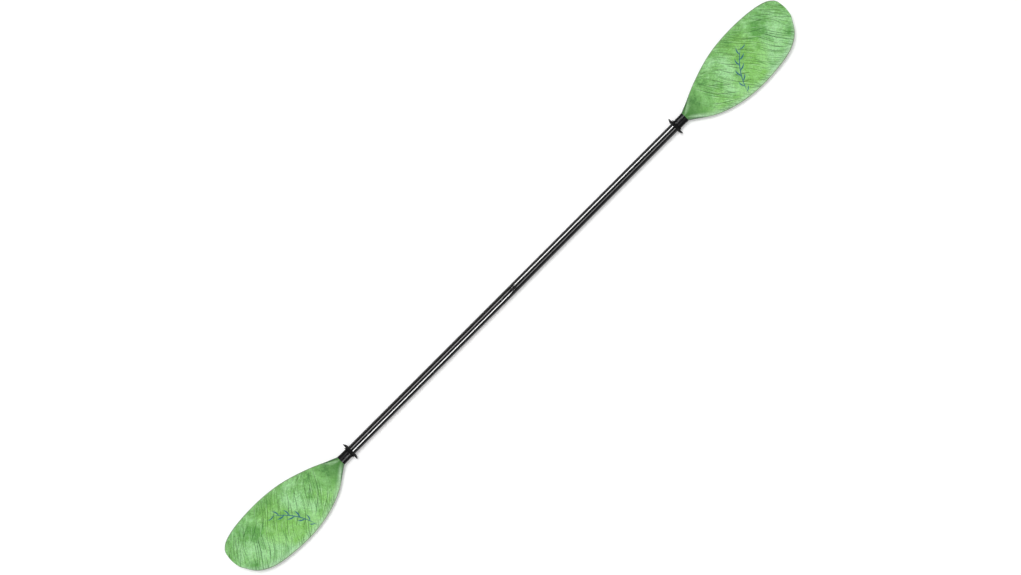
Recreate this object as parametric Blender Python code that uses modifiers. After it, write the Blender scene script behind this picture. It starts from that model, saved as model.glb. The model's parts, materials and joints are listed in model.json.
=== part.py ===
"""Two-piece kayak paddle with moulded asymmetric blades, lying flat with its hollow faces up.

X runs along the shaft from the left blade to the right one, Y towards the blades' long edges, and Z up.
The origin is under the middle of the shaft, on the plane that the two drip rings stand on.
"""

import math

import bmesh
import bpy
import numpy as np

# Whole paddle
OVERALL_LENGTH = 2.300
SEAM_WIDTH = 0.0024
FIT_GAP = 0.0003
SIDES = 36

# Blade, measured from the end of its throat to its tip; the side with the longer edge is the narrower one
BLADE_LENGTH = 0.434
LONG_SIDE = 0.0890
SHORT_SIDE = 0.0960
TIP_OFFSET = 0.0195
TIP_RISE = 0.018
BELLY_DROP = 0.007
EDGE_LIFT = 0.007
CUP_START_SHARE = 0.40
CUP_FADE_SHARE = 0.45
MIDDLE_THICKNESS = 0.0042
EDGE_THICKNESS = 0.0022
THROAT_LENGTH = 0.062
SPINE_HEIGHT = 0.0055
SPINE_WIDTH = 0.034
SPINE_LENGTH = 0.300
BLADE_STATIONS = 34
LENS_POWER = 1.5
EDGE_POWER = 8
NOSE_POWER = 40

# Shaft and the blade's spigot inside it
SHAFT_DIAMETER = 0.0286
SHAFT_WALL = 0.0014
SPIGOT_LENGTH = 0.060
SPIGOT_WALL = 0.0030
THROAT_BORE_DEPTH = 0.022

# Heat-shrink sleeve over the joint of blade and shaft
SHOULDER_LENGTH = 0.0083
SHOULDER_STEP = 0.0005
SLEEVE_LENGTH = 0.0328
SLEEVE_WALL = 0.0004
SLEEVE_GAP = 0.0002
SLEEVE_RAMP = 0.0010

# Drip ring
RING_DIAMETER = 0.0598
RING_HEIGHT = 0.0118
RING_HUB_WALL = 0.0029
RING_FLANGE_WIDTH = 0.0016
RING_FLANGE_HEIGHT = 0.0014
RING_CUP_DEPTH = 0.0056
RING_RIM_THICKNESS = 0.0014
RING_ROOT_THICKNESS = 0.0034
RING_CURVE = 1.7
RING_STEPS = 5

# Ferrule: a liner in the left half, and the insert that slides in it
LINER_WALL = 0.0010
LINER_SPARE = 0.014
INSERT_BONDED_LENGTH = 0.070
INSERT_WALL = 0.0020
NOSE_FLANGE = 0.0020
NOSE_STEM = 0.0090
NOSE_CHAMFER = 0.0015

# Snap clip and the index holes that its button stands in
BUTTON_POSITION = 0.045
BUTTON_DIAMETER = 0.0066
BUTTON_PROUD = 0.0020
BUTTON_DOME = 0.0010
FEATHER_STEP = math.radians(60.0)
CLIP_THICKNESS = 0.0007
CLIP_WIDTH = 0.0080
CLIP_LEG = 0.026
CLIP_TAPER = 0.017
CLIP_TAIL = 0.008
CLIP_BEND_RADIUS = 0.0028
CLIP_BEND_STEPS = 6

# Foam bulkheads in the tubes
PLUG_LENGTH = 0.030

# Blade outline: share of the blade's length, and of its width on that side of the shaft's line
LONG_EDGE = (
    (0.035, 0.243), (0.080, 0.333), (0.155, 0.500), (0.270, 0.710), (0.400, 0.888), (0.530, 0.978),
    (0.660, 1.000), (0.780, 0.968), (0.870, 0.903), (0.935, 0.803), (0.972, 0.675), (0.992, 0.520),
)
SHORT_EDGE = (
    (0.035, 0.262), (0.080, 0.402), (0.155, 0.619), (0.270, 0.828), (0.400, 0.960), (0.530, 1.000),
    (0.660, 0.972), (0.780, 0.894), (0.870, 0.743), (0.935, 0.510), (0.972, 0.250), (0.992, 0.070),
)

# Finishes: base colour, roughness and metallic value
BLADE_FINISH = ((0.24, 0.54, 0.19), 0.25, 0.0)
SLEEVE_FINISH = ((0.020, 0.020, 0.021), 0.45, 0.0)
RUBBER_FINISH = ((0.016, 0.016, 0.017), 0.60, 0.0)
CARBON_FINISH = ((0.014, 0.014, 0.015), 0.15, 0.0)
LINER_FINISH = ((0.30, 0.31, 0.30), 0.45, 0.0)
INSERT_FINISH = ((0.030, 0.030, 0.032), 0.40, 0.0)
PLUG_FINISH = ((0.045, 0.045, 0.048), 0.50, 0.0)
FOAM_FINISH = ((0.72, 0.72, 0.70), 0.90, 0.0)
STEEL_FINISH = ((0.60, 0.60, 0.61), 0.25, 1.0)

shaft_radius = SHAFT_DIAMETER / 2
shaft_bore = shaft_radius - SHAFT_WALL
shoulder_radius = shaft_radius + SHOULDER_STEP
throat_radius = shoulder_radius + SLEEVE_GAP + SLEEVE_WALL
ring_radius = RING_DIAMETER / 2
axis_height = ring_radius * math.cos(math.pi / SIDES)

throat_end = OVERALL_LENGTH / 2 - BLADE_LENGTH
shoulder_end = throat_end - SHOULDER_LENGTH
shaft_start = SEAM_WIDTH / 2
shaft_end = shoulder_end - FIT_GAP
sleeve_end = throat_end - SLEEVE_LENGTH
ring_start = sleeve_end - FIT_GAP

liner_radius = shaft_bore - FIT_GAP
liner_bore = liner_radius - LINER_WALL
insert_radius = liner_bore - FIT_GAP
insert_bore = insert_radius - INSERT_WALL
bonded_start = shaft_start + FIT_GAP
bonded_end = bonded_start + INSERT_BONDED_LENGTH
clip_end = BUTTON_POSITION + CLIP_LEG + CLIP_TAPER + CLIP_BEND_RADIUS + CLIP_THICKNESS / 2
insert_reach = clip_end + NOSE_STEM
nose_start = insert_reach + FIT_GAP
liner_end = nose_start + NOSE_FLANGE + LINER_SPARE
bonded_radius = shaft_bore - FIT_GAP
hole_radius = BUTTON_DIAMETER / 2 + FIT_GAP


def new_collection(name):
    collection = bpy.data.collections.new(name)
    bpy.context.scene.collection.children.link(collection)
    return collection


def new_empty(name, parent=None, location=(0.0, 0.0, 0.0)):
    """A pivot on a joint's axis, which carries the pieces that move there."""
    empty = bpy.data.objects.new(name, None)
    empty.location = location
    empty.parent = parent
    paddle.objects.link(empty)
    return empty


def new_material(name, colour, roughness, metallic=0.0):
    material = bpy.data.materials.new(name)
    material.use_nodes = True
    shader = material.node_tree.nodes["Principled BSDF"]
    shader.inputs["Base Color"].default_value = (*colour, 1.0)
    shader.inputs["Roughness"].default_value = roughness
    shader.inputs["Metallic"].default_value = metallic
    return material


def new_piece(name, mesh, parent, finish):
    """One physical piece, with a material of its own."""
    piece = bpy.data.objects.new(name, mesh)
    piece.parent = parent
    paddle.objects.link(piece)
    colour, roughness, metallic = finish
    piece.data.materials.append(new_material(name, colour, roughness, metallic))
    return piece


def point_along_shaft(thing, side):
    """Turns local +Z outwards along the shaft, with a flat of every round piece facing down."""
    thing.rotation_mode = "ZYX"
    thing.rotation_euler = (0.0, side * math.pi / 2, math.pi / SIDES)


def profile_mesh(name, profile, closed):
    """The profile of a turned piece: (distance out along the shaft, radius) pairs, down its outer side."""
    mesh = bmesh.new()
    corners = [mesh.verts.new((radius, 0.0, distance)) for distance, radius in profile]
    for first, second in zip(corners, corners[1:]):
        mesh.edges.new((first, second))
    if closed:
        mesh.edges.new((corners[-1], corners[0]))
    data = bpy.data.meshes.new(name)
    mesh.to_mesh(data)
    mesh.free()
    return data


def spin(thing):
    screw = thing.modifiers.new("turn", "SCREW")
    screw.axis = "Z"
    screw.angle = 2 * math.pi
    screw.steps = SIDES
    screw.render_steps = SIDES
    screw.use_merge_vertices = True
    screw.merge_threshold = 0.00001
    screw.use_smooth_shade = False


def turned(name, profile, side, parent, finish, closed=True):
    piece = new_piece(name, profile_mesh(name, profile, closed), parent, finish)
    point_along_shaft(piece, side)
    spin(piece)
    return piece


def turned_cutter(name, profile, side, parent):
    cutter = bpy.data.objects.new(name, profile_mesh(name, profile, False))
    cutter.parent = parent
    cutters.objects.link(cutter)
    point_along_shaft(cutter, side)
    spin(cutter)
    hide(cutter)
    return cutter


def hide(cutter):
    cutter.hide_render = True
    cutter.display_type = "WIRE"


def cut(piece, cutter, operation="DIFFERENCE"):
    boolean = piece.modifiers.new(cutter.name, "BOOLEAN")
    boolean.object = cutter
    boolean.operation = operation


def round_bar(start, end, radius):
    """Profile of a solid bar between two distances along the shaft."""
    return [(end, 0.0), (end, radius), (start, radius), (start, 0.0)]


def tube(start, end, bore, radius):
    """Profile of a plain tube."""
    return [(end, bore), (end, radius), (start, radius), (start, bore)]


def smooth_step(value):
    value = min(max(value, 0.0), 1.0)
    return value * value * (3 - 2 * value)


def spline(points, count):
    """Evenly numbered points on the natural cubic spline through the given ones."""
    knots = np.array(points)
    last = len(knots) - 1
    system = np.eye(last + 1)
    bends = np.zeros_like(knots)
    for i in range(1, last):
        system[i, i - 1:i + 2] = (1.0, 4.0, 1.0)
        bends[i] = 6 * (knots[i - 1] - 2 * knots[i] + knots[i + 1])
    bends = np.linalg.solve(system, bends)
    result = []
    for step in range(count):
        place = step * last / (count - 1)
        i = min(int(place), last - 1)
        t = place - i
        s = 1 - t
        result.append(
            s * knots[i] + t * knots[i + 1]
            + (s**3 - s) * bends[i] / 6 + (t**3 - t) * bends[i + 1] / 6
        )
    return result


def blade_edges():
    """The blade's two edges from throat to tip: distance from the throat, and from the shaft's line."""
    tip = (BLADE_LENGTH, TIP_OFFSET)
    long_points = [(0.0, throat_radius)]
    short_points = [(0.0, -throat_radius)]
    long_points += [(along * BLADE_LENGTH, out * LONG_SIDE) for along, out in LONG_EDGE]
    short_points += [(along * BLADE_LENGTH, -out * SHORT_SIDE) for along, out in SHORT_EDGE]
    return spline(long_points + [tip], BLADE_STATIONS), spline(short_points + [tip], BLADE_STATIONS)


def camber(along, across):
    """Height of the middle surface: it drops behind the shaft, rises at the tip and cups at its edges."""
    share = min(max(along / BLADE_LENGTH, 0.0), 1.0)
    spoon = TIP_RISE * share**3 - BELLY_DROP * math.sin(math.pi * share) ** 2
    cup = EDGE_LIFT * smooth_step(share / CUP_START_SHARE) * (1 - CUP_FADE_SHARE * share)
    return spoon + cup * across * across


def half_thickness(along, across, station):
    """Half the blade's thickness: a round throat that flattens into a thin blade with a blunt edge."""
    flat = smooth_step(along / THROAT_LENGTH)
    inside = max(1 - across * across, 0.0)
    round_part = throat_radius * math.sqrt(inside)
    blunt = EDGE_THICKNESS / 2 * math.sqrt(max(1 - across**EDGE_POWER, 0.0))
    lens = (MIDDLE_THICKNESS - EDGE_THICKNESS) / 2 * inside**LENS_POWER
    nose = math.sqrt(max(1 - station**NOSE_POWER, 0.0))
    return ((1 - flat) * round_part + flat * (blunt + lens)) * nose


def spine(along, offset, across):
    """Extra thickness of the rib behind the blade, which carries the shaft's line on and fades out."""
    grow = smooth_step(along / THROAT_LENGTH)
    fade = 1 - smooth_step((along - THROAT_LENGTH) / (SPINE_LENGTH - THROAT_LENGTH))
    ridge = math.exp(-((2 * offset / SPINE_WIDTH) ** 2))
    return SPINE_HEIGHT * grow * fade * ridge * max(1 - across * across, 0.0)


def blade_ring(long_point, short_point, station, side):
    """One closed section of the blade, with its points crowded towards the two edges."""
    ring = []
    for k in range(SIDES):
        turn = 2 * math.pi * k / SIDES
        across = math.cos(turn)
        up = math.copysign(1.0, math.sin(turn)) if k % (SIDES // 2) else 0.0
        place = short_point + (long_point - short_point) * (across + 1) / 2
        height = camber(place[0], across) + up * half_thickness(place[0], across, station)
        if up < 0:
            height -= spine(place[0], place[1], across)
        ring.append((side * (throat_end + place[0]), place[1], height))
    return ring


def blade_mesh(name, side):
    """Loft from the round end of the throat to the tip."""
    mesh = bmesh.new()
    long_edge, short_edge = blade_edges()
    rings = []
    for step in range(BLADE_STATIONS - 1):
        station = step / (BLADE_STATIONS - 1)
        ring = blade_ring(long_edge[step], short_edge[step], station, side)
        rings.append([mesh.verts.new(point) for point in ring])
    tip = mesh.verts.new((side * (throat_end + BLADE_LENGTH), TIP_OFFSET, camber(BLADE_LENGTH, 0.0)))
    mesh.faces.new(rings[0])
    for ring, following in zip(rings, rings[1:]):
        for k in range(SIDES):
            after = (k + 1) % SIDES
            mesh.faces.new((ring[k], ring[after], following[after], following[k]))
    for k in range(SIDES):
        mesh.faces.new((rings[-1][k], rings[-1][(k + 1) % SIDES], tip))
    bmesh.ops.recalc_face_normals(mesh, faces=mesh.faces)
    data = bpy.data.meshes.new(name)
    mesh.to_mesh(data)
    mesh.free()
    return data


def add_blade(side_name, side, parent):
    """Blade with its throat, the shoulder under the sleeve, and the hollow spigot inside the shaft."""
    name = side_name + "_blade"
    blade = new_piece(name, blade_mesh(name, side), parent, BLADE_FINISH)
    spigot_radius = shaft_bore - FIT_GAP
    spigot_end = shoulder_end - SPIGOT_LENGTH
    buried = throat_end + SHOULDER_LENGTH / 2
    stem = [
        (buried, 0.0),
        (buried, shoulder_radius),
        (shoulder_end, shoulder_radius),
        (shoulder_end, spigot_radius),
        (spigot_end, spigot_radius),
        (spigot_end, 0.0),
    ]
    cut(blade, turned_cutter(side_name + "_stem", stem, side, parent), "UNION")
    bore = spigot_radius - SPIGOT_WALL
    bore_end = throat_end + THROAT_BORE_DEPTH
    hollow = [
        (bore_end, 0.0),
        (throat_end, bore),
        (spigot_end - FIT_GAP, bore),
        (spigot_end - FIT_GAP, 0.0),
    ]
    cut(blade, turned_cutter(side_name + "_hollow", hollow, side, parent))
    return blade


def add_sleeve(side_name, side, parent):
    """Heat-shrink sleeve: it grips the blade's shoulder, steps down and grips the shaft."""
    low_bore = shaft_radius + SLEEVE_GAP
    high_bore = shoulder_radius + SLEEVE_GAP
    step = shoulder_end - FIT_GAP
    profile = [
        (throat_end - FIT_GAP, high_bore),
        (throat_end - FIT_GAP, high_bore + SLEEVE_WALL),
        (step, high_bore + SLEEVE_WALL),
        (step - SLEEVE_RAMP, low_bore + SLEEVE_WALL),
        (sleeve_end, low_bore + SLEEVE_WALL),
        (sleeve_end, low_bore),
        (step - SLEEVE_RAMP, low_bore),
        (step, high_bore),
    ]
    return turned(side_name + "_shrink_sleeve", profile, side, parent, SLEEVE_FINISH)


def disc_surface(share, hub, thickness, bottom):
    """Radius and height above the ring's inner end at a share of the way from hub to rim."""
    radius = hub + (ring_radius - hub) * share
    lift = RING_CUP_DEPTH * share**RING_CURVE
    return bottom + lift + thickness, radius


def add_drip_ring(side_name, side, parent):
    """Rubber drip ring: a flange and hub, and a thin disc that cups towards the blade."""
    bore = shaft_radius + FIT_GAP
    hub = bore + RING_HUB_WALL
    bottom = ring_start - RING_HEIGHT
    upper, lower = [], []
    for step in range(RING_STEPS + 1):
        share = step / RING_STEPS
        thickness = RING_ROOT_THICKNESS + (RING_RIM_THICKNESS - RING_ROOT_THICKNESS) * share
        upper.append(disc_surface(share, hub, thickness, bottom))
        lower.append(disc_surface(share, hub, 0.0, bottom))
    profile = [
        (ring_start, bore),
        (ring_start, hub + RING_FLANGE_WIDTH),
        (ring_start - RING_FLANGE_HEIGHT, hub + RING_FLANGE_WIDTH),
        (ring_start - RING_FLANGE_HEIGHT, hub),
        *upper,
        *reversed(lower),
        (bottom, bore),
    ]
    return turned(side_name + "_drip_ring", profile, side, parent, RUBBER_FINISH)


def add_shaft_tube(side_name, side, parent):
    profile = tube(shaft_start, shaft_end, shaft_bore, shaft_radius)
    return turned(side_name + "_shaft_tube", profile, side, parent, CARBON_FINISH)


def add_float_plug(side_name, side, parent, start):
    profile = round_bar(start, start + PLUG_LENGTH, shaft_bore - FIT_GAP)
    name = side_name + "_float_plug"
    return turned(name, profile, side, parent, FOAM_FINISH, closed=False)


def index_hole(name, angle, parent):
    """Radial drill from the shaft's line outwards, turned from straight up by the feather angle."""
    reach = shaft_radius + BUTTON_PROUD
    bpy.ops.mesh.primitive_cylinder_add(vertices=SIDES // 2, radius=hole_radius, depth=reach)
    cutter = bpy.context.active_object
    cutter.name = name
    for collection in list(cutter.users_collection):
        collection.objects.unlink(cutter)
    cutters.objects.link(cutter)
    cutter.parent = parent
    middle = reach / 2
    cutter.location = (-BUTTON_POSITION, -middle * math.sin(angle), middle * math.cos(angle))
    cutter.rotation_euler = (angle, 0.0, 0.0)
    hide(cutter)
    return cutter


def add_ferrule(left_half, right_half, left_tube):
    """The liner and its index holes, the sliding insert, its nose plug and the seal at the seam."""
    liner_profile = tube(shaft_start, liner_end, liner_bore, liner_radius)
    liner = turned("ferrule_sleeve", liner_profile, -1, left_half, LINER_FINISH)
    for label, turn in (("right", -1), ("middle", 0), ("left", 1)):
        drill = index_hole("index_hole_" + label, turn * FEATHER_STEP, left_half)
        cut(left_tube, drill)
        cut(liner, drill)

    insert_profile = [
        (bonded_end, insert_bore),
        (bonded_end, bonded_radius),
        (bonded_start, bonded_radius),
        (bonded_start, insert_radius),
        (-insert_reach, insert_radius),
        (-insert_reach, insert_bore),
    ]
    insert = turned("ferrule_insert", insert_profile, 1, right_half, INSERT_FINISH)
    cut(insert, index_hole("button_hole", 0.0, right_half))

    nose_profile = [
        (nose_start + NOSE_FLANGE, 0.0),
        (nose_start + NOSE_FLANGE, insert_radius - NOSE_CHAMFER),
        (nose_start, insert_radius),
        (nose_start, insert_bore - FIT_GAP),
        (nose_start - NOSE_STEM, insert_bore - FIT_GAP),
        (nose_start - NOSE_STEM, 0.0),
    ]
    turned("insert_end_plug", nose_profile, -1, right_half, PLUG_FINISH, closed=False)


def add_seal(seal_carrier):
    """Flat rubber ring that the two tube ends close on."""
    half = shaft_start - FIT_GAP
    profile = tube(-half, half, insert_radius + FIT_GAP, shaft_radius)
    return turned("seal_ring", profile, 1, seal_carrier, RUBBER_FINISH)


def clip_mesh(leg_height):
    """Bent strip of the snap clip, drawn as its middle line and swept across its width."""
    mesh = bmesh.new()
    bend_centre = -CLIP_LEG - CLIP_TAPER
    path = [(CLIP_TAIL, -leg_height), (-CLIP_LEG, -leg_height)]
    for step in range(CLIP_BEND_STEPS + 1):
        turn = math.pi * step / CLIP_BEND_STEPS
        x = bend_centre - CLIP_BEND_RADIUS * math.sin(turn)
        path.append((x, -CLIP_BEND_RADIUS * math.cos(turn)))
    path += [(-CLIP_LEG, leg_height), (CLIP_TAIL, leg_height)]
    rows = []
    for across in (-CLIP_WIDTH / 2, CLIP_WIDTH / 2):
        rows.append([mesh.verts.new((x, across, z)) for x, z in path])
    near, far = rows
    for i in range(len(path) - 1):
        mesh.faces.new((near[i], near[i + 1], far[i + 1], far[i]))
    data = bpy.data.meshes.new("snap_clip")
    mesh.to_mesh(data)
    mesh.free()
    return data


def add_snap_clip(button_slide):
    """One-piece spring clip: two legs that press on the insert's bore, and the button on the upper one."""
    flat_bore = insert_bore * math.cos(math.pi / SIDES) - FIT_GAP
    leg_height = math.sqrt(flat_bore**2 - (CLIP_WIDTH / 2) ** 2) - CLIP_THICKNESS / 2
    clip = new_piece("snap_clip", clip_mesh(leg_height), button_slide, STEEL_FINISH)
    strip = clip.modifiers.new("strip", "SOLIDIFY")
    strip.thickness = CLIP_THICKNESS
    strip.offset = 0.0
    strip.use_even_offset = True

    radius = BUTTON_DIAMETER / 2
    top = shaft_radius + BUTTON_PROUD
    button_profile = [
        (top, 0.0),
        (top, radius - BUTTON_DOME),
        (top - BUTTON_DOME / 3, radius - BUTTON_DOME / 3),
        (top - BUTTON_DOME, radius),
        (leg_height, radius),
        (leg_height, 0.0),
    ]
    button = bpy.data.objects.new("button_stud", profile_mesh("button_stud", button_profile, False))
    button.parent = button_slide
    cutters.objects.link(button)
    spin(button)
    hide(button)
    cut(clip, button, "UNION")
    return clip


def add_half(side_name, side, half, ring_slide, plug_start):
    """The pieces that both halves have. Returns the shaft tube, which the left half drills."""
    add_blade(side_name, side, half)
    add_sleeve(side_name, side, half)
    add_drip_ring(side_name, side, ring_slide)
    add_float_plug(side_name, side, half, plug_start)
    return add_shaft_tube(side_name, side, half)


def shade(piece):
    """Smooth shading, kept sharp at real corners."""
    piece.data.shade_smooth()
    piece.data.set_sharp_from_angle(angle=math.radians(30.0))


for old in list(bpy.data.objects):
    bpy.data.objects.remove(old)

paddle = new_collection("boat_paddle")
cutters = new_collection("cutters")

left_half = new_empty("left_half", location=(0.0, 0.0, axis_height))
seal_carrier = new_empty("pull_apart", left_half)
right_half = new_empty("right_half", seal_carrier)
left_ring_slide = new_empty("left_ring_slide", left_half)
right_ring_slide = new_empty("right_ring_slide", right_half)
button_slide = new_empty("button_slide", right_half, (-BUTTON_POSITION, 0.0, 0.0))

left_tube = add_half("left", -1, left_half, left_ring_slide, liner_end + FIT_GAP)
add_half("right", 1, right_half, right_ring_slide, bonded_end + FIT_GAP)
add_ferrule(left_half, right_half, left_tube)
add_seal(seal_carrier)
add_snap_clip(button_slide)

for piece in paddle.objects:
    if piece.type == "MESH":
        shade(piece)
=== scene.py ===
"""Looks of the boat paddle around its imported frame: finer pieces, finishes, floor, lamps, camera.

X runs along the shaft from the left blade to the right one, Y towards the blades' long edges,
and Z up. All lengths are in metres. The paddle rests on its two drip rings, at the floor's height.
"""

import json
import math

import bmesh
import bpy
import numpy as np
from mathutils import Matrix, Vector

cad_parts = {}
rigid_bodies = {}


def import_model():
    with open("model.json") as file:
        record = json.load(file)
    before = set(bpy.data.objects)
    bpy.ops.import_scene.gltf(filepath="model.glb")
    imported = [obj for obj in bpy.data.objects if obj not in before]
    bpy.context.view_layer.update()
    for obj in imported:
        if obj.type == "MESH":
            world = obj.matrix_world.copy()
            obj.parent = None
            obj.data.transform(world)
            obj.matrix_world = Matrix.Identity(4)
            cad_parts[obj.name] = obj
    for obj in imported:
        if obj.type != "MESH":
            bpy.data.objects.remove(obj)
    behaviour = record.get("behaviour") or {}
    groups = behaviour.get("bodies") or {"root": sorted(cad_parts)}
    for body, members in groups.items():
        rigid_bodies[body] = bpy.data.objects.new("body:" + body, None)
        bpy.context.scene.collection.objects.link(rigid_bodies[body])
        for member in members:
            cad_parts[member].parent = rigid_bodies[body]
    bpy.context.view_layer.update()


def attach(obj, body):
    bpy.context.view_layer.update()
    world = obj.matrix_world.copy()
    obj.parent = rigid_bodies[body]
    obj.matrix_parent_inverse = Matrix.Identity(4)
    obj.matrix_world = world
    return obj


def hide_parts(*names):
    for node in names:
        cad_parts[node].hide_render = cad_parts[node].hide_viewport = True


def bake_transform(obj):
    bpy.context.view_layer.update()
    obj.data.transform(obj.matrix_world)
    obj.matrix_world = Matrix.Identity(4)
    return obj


# Photograph's frame: its size, and where and how large the paddle is in it
FRAME_WIDTH = 1021
FRAME_HEIGHT = 575
PIXELS_PER_METRE = 339.8
CENTRE_PIXEL = (512.5, 288.3)
CAMERA_DISTANCE = 14.0
CAMERA_ROLL = math.radians(-45.0)
SENSOR_WIDTH = 36.0

# Whole paddle
OVERALL_LENGTH = 2.300
SEAM_WIDTH = 0.0024
FIT_GAP = 0.0003
CAD_SIDES = 36

# How finely the pieces are drawn
SEGMENTS = 96
SMOOTH_ANGLE = 40.0
SAME_POINT = 1e-6

# Rounded corners: steps of a curve, its largest share of a straight, and where the straight is held
FILLET_STEPS = 4
FILLET_LIMIT = 0.40
FILLET_HOLD = 1.2

# Blade
BLADE_LENGTH = 0.434
LONG_SIDE = 0.0890
SHORT_SIDE = 0.0960
TIP_OFFSET = 0.0195
TIP_RISE = 0.018
BELLY_DROP = 0.007
EDGE_LIFT = 0.007
CUP_START_SHARE = 0.40
CUP_FADE_SHARE = 0.45
MIDDLE_THICKNESS = 0.0042
EDGE_THICKNESS = 0.0022
THROAT_LENGTH = 0.062
SPINE_HEIGHT = 0.0055
SPINE_WIDTH = 0.034
SPINE_LENGTH = 0.300
BLADE_STATIONS = 170
BLADE_SEGMENTS = 80
BLADE_SMOOTH_ANGLE = 60.0
LENS_POWER = 1.5
EDGE_POWER = 8
NOSE_POWER = 40

# Blade outline: share of the blade's length, and of its width on that side of the shaft's line
LONG_EDGE = (
    (0.035, 0.243), (0.080, 0.333), (0.155, 0.500), (0.270, 0.710), (0.400, 0.888), (0.530, 0.978),
    (0.660, 1.000), (0.780, 0.968), (0.870, 0.903), (0.935, 0.803), (0.972, 0.675), (0.992, 0.520),
)
SHORT_EDGE = (
    (0.035, 0.262), (0.080, 0.402), (0.155, 0.619), (0.270, 0.828), (0.400, 0.960), (0.530, 1.000),
    (0.660, 0.972), (0.780, 0.894), (0.870, 0.743), (0.935, 0.510), (0.972, 0.250), (0.992, 0.070),
)

# Shaft and the blade's spigot inside it
SHAFT_DIAMETER = 0.0286
SHAFT_WALL = 0.0014
SHAFT_FILLET = 0.0004
SPIGOT_LENGTH = 0.060
SPIGOT_WALL = 0.0030
SPIGOT_FILLET = 0.0004

# Heat-shrink sleeve
SHOULDER_LENGTH = 0.0083
SHOULDER_STEP = 0.0005
SLEEVE_LENGTH = 0.0328
SLEEVE_WALL = 0.0004
SLEEVE_GAP = 0.0002
SLEEVE_FILLET = 0.0002
LIP_GAP = 0.00005
LIP_LENGTH = 0.00045
LIP_SHARE = 0.55
# Its crease, as distances outwards from the shoulder's end: with shares of the sleeve's wall
# on the shoulder and on the shaft, and where its bore steps up
CREASE_ON_SHOULDER = ((0.0009, 1.0), (0.0001, 0.4))
CREASE_ON_SHAFT = ((-0.0006, 0.35), (-0.0014, 0.9), (-0.0030, 1.0))
CREASE_INSIDE = (-0.0014, 0.0004)

# Drip ring
RING_DIAMETER = 0.0598
RING_HEIGHT = 0.0118
RING_HUB_WALL = 0.0029
RING_FLANGE_WIDTH = 0.0016
RING_FLANGE_HEIGHT = 0.0014
RING_CUP_DEPTH = 0.0056
RING_RIM_THICKNESS = 0.0014
RING_ROOT_THICKNESS = 0.0034
RING_CURVE = 1.7
RING_STEPS = 14
RING_FILLET = 0.0004
RING_SMOOTH_ANGLE = 50.0

# Ferrule and foam
LINER_WALL = 0.0010
LINER_SPARE = 0.014
INSERT_BONDED_LENGTH = 0.070
INSERT_WALL = 0.0020
INSERT_FILLET = 0.0003
NOSE_FLANGE = 0.0020
NOSE_STEM = 0.0090
NOSE_CHAMFER = 0.0015
NOSE_FILLET = 0.0005
GASKET_FILLET = 0.0003
PLUG_LENGTH = 0.030
PLUG_FILLET = 0.0010
FEATHER_STEP = math.radians(60.0)

# Button and its spring clip
BUTTON_POSITION = 0.045
BUTTON_DIAMETER = 0.0066
BUTTON_PROUD = 0.0020
BUTTON_DOME = 0.0010
BUTTON_CROWN = 0.0001
BUTTON_CROWN_SHARE = 0.55
BUTTON_FILLET = 0.0012
BUTTON_SIDES = 48
CLIP_THICKNESS = 0.0007
CLIP_WIDTH = 0.0080
CLIP_LEG = 0.026
CLIP_TAPER = 0.017
CLIP_TAIL = 0.008
CLIP_BEND_RADIUS = 0.0028
CLIP_BEND_STEPS = 24
CLIP_EASE = 0.006
CLIP_EASE_STEPS = 6

# Index holes: the stretch with rings of its own, the margin of a hole there, and the drill's
# middle and depth as shares of the shaft's radius
HOLE_STRETCH = (0.030, 0.060)
HOLE_MARGIN = 0.006
HOLE_SIDES = 48
DRILL_MIDDLE = 0.9
DRILL_DEPTH = 1.6

# Printed film's colours, from its ground to its edges, with a throat colour that is partly painted
# shade, a painted shade for the throat's flanks and a painted highlight along the short edge
GROUND_GREEN = (0.205, 0.505, 0.135)
PALE_GREEN = (0.350, 0.695, 0.305)
DEEP_GREEN = (0.080, 0.260, 0.060)
LIME_GREEN = (0.250, 0.600, 0.100)
POOL_GREEN = (0.105, 0.360, 0.065)
THROAT_TONE_AND_SHADE = (0.062, 0.215, 0.040)
PAINTED_EDGE_HIGHLIGHT = (0.440, 0.680, 0.440)
LIGHT_LEAF = (0.470, 0.790, 0.400)
BROAD_LEAF = (0.100, 0.340, 0.072)
GRASS_INK = (0.020, 0.095, 0.018)
SPRIG_BLUE = (0.016, 0.110, 0.210)
FLANK_SHADE = (0.022, 0.090, 0.024)
RIM_GREY = (0.160, 0.230, 0.130)

# Printed film: its roughness, its rim, the shares of its ground's noises, and its grass's sway
BLADE_ROUGHNESS = 0.34
RIM_WIDTH = 0.0024
CLOUD_SHARE = 0.50
PATCH_SHARE = 0.34
GRAIN_SHARE = 0.16
SWAY = 0.10

# Where the film's tints, its painted shade and its painted highlight start and are full, along from
# the throat, in from the nearer edge, or off the shaft's line
THROAT_ALONG = (0.090, 0.005)
EDGE_HIGHLIGHT_INSET = (0.022, 0.002)
EDGE_HIGHLIGHT_OFF = (0.0, -0.030)
PRINT_ALONG = (0.045, 0.105)
FLANK_SHADE_INSET = (0.0075, 0.0015)
FLANK_SHADE_ALONG = (0.065, 0.030)
RIM_INSET = (RIM_WIDTH * 1.25, RIM_WIDTH * 0.75)
RIM_ALONG = (0.030, 0.070)

# Strewn leaves: how unevenly they stand, the smallest one's size, and how soft their edges are
LEAF_SCATTER = 0.85
LEAF_LEAST_SIZE = 0.45
LEAF_SOFTNESS = 0.4

# Blue sprig: its middle along and off the shaft's line, its direction, its stem and its leaves
SPRIG_PLACE = (0.212, -0.018)
SPRIG_ANGLE = 0.95
SPRIG_LENGTH = 0.165
SPRIG_BEND = 0.018
STEM_WIDTH = 0.0034
LEAF_COUNT = 9
LEAF_LENGTH = 0.030
LEAF_WIDTH = 0.0048
LEAF_LEAN = 0.62
LEAF_BEND = 0.12
# Its leaves: how far before the stem's middle they start and how far they spread, in half stems,
# how much the outer ones shrink, and how far out of the stem their middles are, in leaf lengths
LEAF_START = 0.9
LEAF_SPAN = 1.7
LEAF_SHRINK = 0.45
LEAF_REACH = 0.47

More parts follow.
